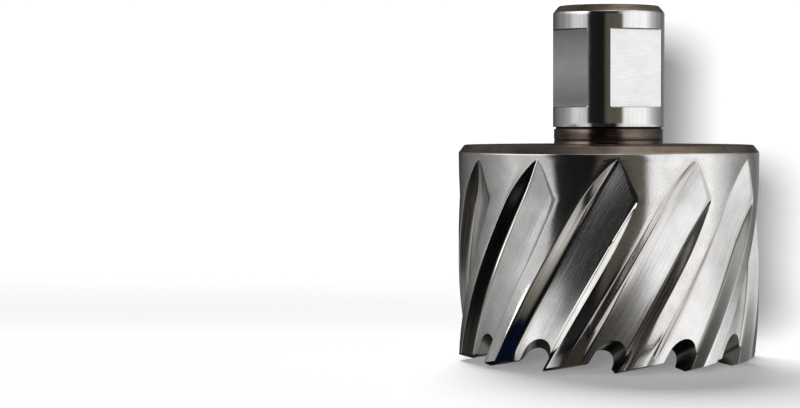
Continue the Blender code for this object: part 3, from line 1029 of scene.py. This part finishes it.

# %% [markdown]
# ### Faces of the flutes
# The wheel's face leaves the floor of a flute with deep streaks along the helix, so the floor
# smears a reflection most. The two walls come out smoother, and the heel wall has the warmer
# tone. The slots in front of the teeth are milled and stay dull, and they and the tooth ends are
# coloured dark. One finish for the whole flute would hide where one face ends and the next begins.

# %% Floor, walls and teeth
steel("ground_flute", marks_round=False, lines=4.0, length=14.0,
      dark=(0.78, 0.77, 0.76), light=(0.99, 0.98, 0.98), sharpness=(0.18, 0.33),
      marks_depth=0.016, grain_depth=0.0006)
steel("ground_heel", marks_round=False, lines=5.0, length=14.0,
      dark=(0.52, 0.48, 0.43), light=(0.93, 0.91, 0.88), sharpness=(0.08, 0.16),
      marks_depth=0.002, grain_depth=0.0010, streak_share=0.8)
steel("ground_wall", marks_round=False, lines=5.0, length=10.0,
      dark=(0.56, 0.55, 0.53), light=(0.66, 0.65, 0.63), sharpness=(0.08, 0.16),
      marks_depth=0.001, grain_depth=0.0010)
# The tooth ends and the gullets' cut faces take this dark base colour
tooth_steel = steel("ground_tooth", marks_round=True, lines=3.0, length=3.0,
                    dark=(0.12, 0.12, 0.11), light=(0.24, 0.24, 0.22), sharpness=(0.24, 0.36),
                    marks_depth=0.001, grain_depth=0.0006)
print("faces of the flutes: floor, heel wall, rake wall and", tooth_steel.name)

# %% [markdown]
# ### Turned faces
# What is only turned keeps the colours of the tempering: brown on the chamfers and the top of
# the cup, darker on the neck, black in the undercut, and dull inside the cavity. Paint would
# hide the turning marks, so these are metal too, with a dark base colour.

# %% Chamfers, neck, undercut and cavity
steel("tinted_turned", marks_round=True, lines=6.0, length=20.0,
      dark=(0.155, 0.122, 0.098), light=(0.31, 0.247, 0.195), sharpness=(0.22, 0.36),
      marks_depth=0.001, grain_depth=0.0006)
steel("burnt_neck", marks_round=True, lines=6.0, length=20.0,
      dark=(0.05, 0.038, 0.034), light=(0.21, 0.158, 0.134), sharpness=(0.14, 0.24),
      marks_depth=0.001, grain_depth=0.0006)
steel("black_undercut", marks_round=True, lines=5.0, length=20.0,
      dark=(0.010, 0.009, 0.008), light=(0.03, 0.026, 0.022), sharpness=(0.35, 0.5),
      marks_depth=0.001, grain_depth=0.0006)
steel("cavity_turned", marks_round=True, lines=5.0, length=20.0,
      dark=(0.12, 0.10, 0.09), light=(0.26, 0.22, 0.20), sharpness=(0.30, 0.45),
      marks_depth=0.002, grain_depth=0.0006)
print(sum(material.use_nodes for material in cutter.data.materials), "finishes are set")

# %% [markdown]
# ## The studio that the steel reflects
# Polished steel has no look of its own: what it shows is the room. A metal part is lit by placing
# white panels and black flags round it, and the photograph tells where they stood, because each
# point of a cylinder mirrors one direction. Real panels could be modelled, but they would light
# the paper too. So the studio is drawn into the world as brightness by compass direction, on
# seven levels from straight below to overhead, and only glossy rays see it. The floor and the
# backdrop get plain light from two soft lamps instead.

# %% Brightness round the studio
# Degrees from the camera (0) to the right, and the level there: grey, or red, green and blue
BROWN_CARD = (0.105, 0.094, 0.077)
BLUE_CARD = (0.004, 0.005, 0.009)
GREY_CARD = (0.22, 0.21, 0.18)
UNDER = [(-180, 0.004), (180, 0.004)]
BELOW = [(-132, 0.05), (-68, 0.03), (-60, 0.012), (-48, 0.005), (0, 0.003), (8, BLUE_CARD),
         (20, 0.06), (36, GREY_CARD), (52, 0.42), (60, 0.62), (72, 0.60), (84, 0.45), (100, 0.45),
         (120, 0.65), (140, 0.95), (160, 0.50), (180, 0.20)]
LOW = [(-168, 0.03), (-140, 0.06), (-120, 0.20), (-104, 0.40), (-92, 0.34), (-74, 0.24),
       (-62, 0.62), (-45, 0.75), (-34, 0.03), (14, 0.005), (24, 0.45), (33, 0.90), (70, 0.95),
       (108, 0.85), (124, 0.50), (138, 0.22), (150, 0.10), (180, 0.04)]
LEVEL = [(-180, 0.01), (-168, 0.03), (-156, 0.07), (-140, 0.13), (-124, 0.20), (-108, 0.26),
         (-92, 0.36), (-84, 0.50), (-76, 0.68), (-66, 0.68), (-46.5, 0.58), (-41.5, 0.012),
         (-10, 0.010), (-3, BROWN_CARD), (26.5, BROWN_CARD), (32, 0.90), (40, 1.02), (78, 1.12),
         (92, 0.80), (100, 0.60), (108, 0.46), (116, 0.36), (132, 0.25), (144, 0.16),
         (160, 0.22), (168, 0.30), (176, 0.08)]
HIGH = [(-160, 0.06), (-130, 0.18), (-108, 0.50), (-84, 1.50), (-66, 2.00), (-47, 2.00),
        (-39, 0.01), (17, 0.01), (26, 0.50), (34, 0.95), (78, 1.00), (100, 0.60), (120, 0.20),
        (150, 0.10), (180, 0.05)]
ABOVE = [(-170, 0.20), (-108, 0.25), (-90, 0.14), (-76, 0.05), (-50, 0.07), (-36, 0.10),
         (-24, 0.17), (-12, 0.30), (0, 0.50), (12, 0.55), (24, 0.16), (38, 0.24), (50, 0.52),
         (60, 0.94), (80, 1.06), (96, 0.72), (120, 0.35), (160, 0.25)]
OVERHEAD = [(-170, 0.10), (-100, 0.16), (-60, 0.28), (-45, 0.45), (-10, 0.60), (30, 1.00),
            (70, 1.25), (100, 0.80), (130, 0.40), (180, 0.15)]
LEVELS = (UNDER, BELOW, LOW, LEVEL, HIGH, ABOVE, OVERHEAD)
# Elevations, in degrees, between which each level passes into the next
PASSAGES = ((-60, -52), (-34, -26), (-6.5, -4.0), (4.5, 8), (20, 26), (54, 68))
print("studio levels with", [len(stops) for stops in LEVELS], "stops")

# %% Draw the studio
world = bpy.data.worlds.new("studio")
bpy.context.scene.world = world
world.use_nodes = True
tree = world.node_tree
tree.nodes.clear()
direction = node(tree, "ShaderNodeSeparateXYZ",
                 [("Vector", node(tree, "ShaderNodeTexCoord").outputs["Generated"])]).outputs
towards = maths(tree, "MULTIPLY", direction["Y"], -1.0)
turn = maths(tree, "ARCTAN2", direction["X"], towards)
compass = maths(tree, "ADD", maths(tree, "DIVIDE", turn, math.tau), 0.5)


def round_the_studio(stops):
    """A colour ramp over the compass direction."""
    ramp = node(tree, "ShaderNodeValToRGB", [("Fac", compass)])
    elements = ramp.color_ramp.elements
    elements.remove(elements[-1])
    for i, (degrees, level) in enumerate(stops):
        place = (degrees + 180) / 360
        if i == 0:
            elements[0].position = place
        stop = elements[0] if i == 0 else elements.new(place)
        stop.color = (*level, 1) if isinstance(level, tuple) else (level, level, level, 1)
    return ramp.outputs["Color"]


def between_heights(lower, upper, low_degrees, high_degrees):
    """One level of the studio passing into the next between two elevations."""
    share = spread(tree, direction["Z"], math.sin(math.radians(low_degrees)),
                   math.sin(math.radians(high_degrees)), 0.0, 1.0)
    return colour_mix(tree, share, lower, upper)


ramps = [round_the_studio(stops) for stops in LEVELS]
reflected = ramps[0]
for upper, passage in zip(ramps[1:], PASSAGES):
    reflected = between_heights(reflected, upper, *passage)
print(len(PASSAGES), "passages between the levels")

# %% What the camera and the paper see
AMBIENT = 0.08
BACKGROUND = 1.0
path = node(tree, "ShaderNodeLightPath").outputs
plain = colour_mix(tree, path["Is Camera Ray"], (AMBIENT, AMBIENT, AMBIENT, 1),
                   (BACKGROUND, BACKGROUND, BACKGROUND, 1))
seen = colour_mix(tree, path["Is Glossy Ray"], plain, reflected)
sky = node(tree, "ShaderNodeBackground", [("Color", seen), ("Strength", 1.0)])
node(tree, "ShaderNodeOutputWorld", [("Surface", sky.outputs[0])])
bpy.context.scene.view_settings.view_transform = "Standard"
print("the world has", len(tree.nodes), "nodes")

# %% [markdown]
# ## Floor and backdrop
# The cutter stands on its teeth on white paper, and the paper curves up behind it, so no horizon
# shows. The paper is a flat floor and a swept sheet: a straight wall and a quarter circle carried
# sideways. It hides from reflections, and from behind it is transparent, so that the cutter can
# be looked at from every side. It glows a little, as paper does in a bright room.

# %% Floor and swept backdrop
FLOOR_REACH = 3.0
SWEEP_START = 0.0275
SWEEP_BEND = 0.016
SWEEP_HALF_WIDTH = 0.25
SWEEP_HEIGHT = 0.20
SWEEP_LIFT = 0.00005
BEND_STEPS = 24


def stage_piece(name, vertices, faces):
    """A piece of the stage from points and quads, unseen in reflections."""
    piece = mesh_object(name, vertices, faces)
    piece.data.shade_smooth()
    piece.visible_glossy = False
    return piece


reach = FLOOR_REACH
floor = stage_piece("floor", [(-reach, -reach, 0), (reach, -reach, 0), (reach, reach, 0),
                              (-reach, reach, 0)], [(0, 1, 2, 3)])
bend = np.linspace(0, math.pi / 2, BEND_STEPS + 1)
sweep_y = np.append(SWEEP_START + SWEEP_BEND * np.sin(bend), SWEEP_START + SWEEP_BEND)
sweep_z = np.append(SWEEP_BEND * (1 - np.cos(bend)), SWEEP_HEIGHT) + SWEEP_LIFT
ends = np.array([-SWEEP_HALF_WIDTH, SWEEP_HALF_WIDTH])
sheet = np.stack(np.broadcast_arrays(ends[None, :], sweep_y[:, None], sweep_z[:, None]), axis=-1)
step = np.arange(len(sweep_y) - 1) * 2
backdrop = stage_piece("backdrop", sheet.reshape(-1, 3),
                       np.stack([step, step + 1, step + 3, step + 2], axis=-1))
backdrop.visible_shadow = False
backdrop.visible_diffuse = False
floor.visible_diffuse = False
print("the backdrop rises", round((SWEEP_START + SWEEP_BEND) * TO_MM, 1), "mm behind the axis")


# %% Matte material
def matte(piece, name, grey, glow_colour, glow):
    """Gives a piece a material with no shine, that is grey and glows by itself."""
    material = bpy.data.materials.new(name)
    material.use_nodes = True
    tree = material.node_tree
    shader = tree.nodes["Principled BSDF"]
    shader.inputs["Base Color"].default_value = (grey, grey, grey, 1)
    shader.inputs["Roughness"].default_value = MATTE_ROUGHNESS
    shader.inputs["Specular IOR Level"].default_value = 0.0
    shader.inputs["Emission Color"].default_value = (*glow_colour, 1)
    shader.inputs["Emission Strength"].default_value = glow
    piece.data.materials.append(material)
    return tree, shader


MATTE_ROUGHNESS = 0.9
PAPER = 0.80
PAPER_GLOW = 0.21
WHITE = (1, 1, 1)
matte(floor, "pale_floor", PAPER, WHITE, PAPER_GLOW)
tree, shader = matte(backdrop, "pale_backdrop", PAPER, WHITE, PAPER_GLOW)
from_behind = node(tree, "ShaderNodeNewGeometry").outputs["Backfacing"]
tree.links.new(maths(tree, "SUBTRACT", 1.0, from_behind), shader.inputs["Alpha"])
print("paper on", floor.name, "and", backdrop.name)

# %% [markdown]
# ## Cards on the floor
# A world is infinitely far away, so it looks the same from every point of the cutter. What lies
# close by doesn't: the foot of a flute mirrors the floor a few millimetres away, and its upper
# part doesn't. The floor right round the teeth lies in the cutter's own contact shadow, so the two
# dark cards there are painted shadow: the reflections see them in place of that shadow. Further
# out lie a black card in front and a white one on the left, as a photographer lays them. They
# could be boxes of geometry, but a flat part of a ring, seen by reflections alone, is enough and casts
# no shadow.

# %% Cards that reflections see
CARD_STEPS = 24
CARD_LIFT = 0.0003


def card(name, compass_from, compass_to, inner, outer, colour):
    """Part of a flat ring on the floor, between two compass directions and two radii."""
    fan = np.radians(np.linspace(compass_from, compass_to, CARD_STEPS + 1))
    corners = np.concatenate([spot(r, fan, CARD_LIFT) for r in (outer, inner)])
    step = np.arange(CARD_STEPS)
    piece = stage_piece(name, corners, np.stack([step, step + 1, step + CARD_STEPS + 2,
                                                 step + CARD_STEPS + 1], axis=-1))
    piece.visible_glossy = True
    piece.visible_camera = piece.visible_shadow = False
    piece.visible_diffuse = piece.visible_transmission = False
    matte(piece, name, 0.0, colour, 1.0)
    print(name, "reaches from", inner * TO_MM, "to", outer * TO_MM, "mm")


# Painted shadow: these two dark rings round the teeth stand for the cutter's contact shadow on the
# floor
card("card_blue", -62, -22, 0.0235, 0.0295, (0.003, 0.005, 0.016))
card("card_teeth", -22, 14, 0.0235, 0.0290, (0.040, 0.035, 0.028))
card("card_front", -32, 36, 0.050, 0.068, (0.004, 0.004, 0.004))
card("card_left", -62, -51, 0.056, 0.140, (1.8, 1.8, 1.8))

# %% [markdown]
# ## Lamps
# The paper shows where its light comes from. A low, soft key lamp near the camera throws the
# cutter's shadow up the backdrop, and a high, very soft one from behind lays the shadow in front
# of the teeth. Area lamps would fall off over the paper and show in the steel, so both are Suns
# that no reflection sees.


# %% Two soft lamps
def lamp(name, compass_degrees, elevation, softness, strength):
    """A far lamp as a Sun: it shines on the paper only, because no reflection sees it."""
    light = bpy.data.lights.new(name, "SUN")
    light.angle = math.radians(softness)
    light.energy = strength
    made = bpy.data.objects.new(name, light)
    bpy.context.scene.collection.objects.link(made)
    turn, tilt = math.radians(compass_degrees), math.radians(elevation)
    made.rotation_euler = Vector((math.sin(turn) * math.cos(tilt), -math.cos(turn) * math.cos(tilt),
                                  math.sin(tilt))).to_track_quat("Z", "Y").to_euler()
    made.visible_glossy = False
    return made


for light in (lamp("key", compass_degrees=-9.0, elevation=6.0, softness=15.0, strength=3.1),
              lamp("back", compass_degrees=-163.0, elevation=44.0, softness=38.0, strength=3.6)):
    print("lamp", light.name, "with strength", round(light.data.energy, 2))

# %% [markdown]
# ## Camera
# The photograph was taken from a little above the teeth with a long lens, and the cutter stands
# right of the middle. The lens axis aims left of the cutter and a shift brings the frame back,
# as a view camera does, so that upright edges stay upright.

# %% Camera
EYE = np.array([0.0, -0.380, 0.04095])
AIM = np.array([-0.01794, 0.0, 0.02654])
FILM_WIDTH = 36
FOCAL_LENGTH = 99.594
PHOTO_WIDTH = 800
SHIFT_PIXELS = -104
NEAR_CLIP = 0.01
camera_data = bpy.data.cameras.new("camera")
camera_data.sensor_width = FILM_WIDTH
camera_data.lens = FOCAL_LENGTH
camera_data.shift_x = SHIFT_PIXELS / PHOTO_WIDTH
camera_data.clip_start = NEAR_CLIP
camera = bpy.data.objects.new("camera", camera_data)
bpy.context.scene.collection.objects.link(camera)
camera.location = EYE
camera.rotation_euler = Vector(AIM - EYE).to_track_quat("-Z", "Y").to_euler()
bpy.context.scene.camera = camera
print("the camera stands", round(-EYE[1] * TO_MM), "mm away")
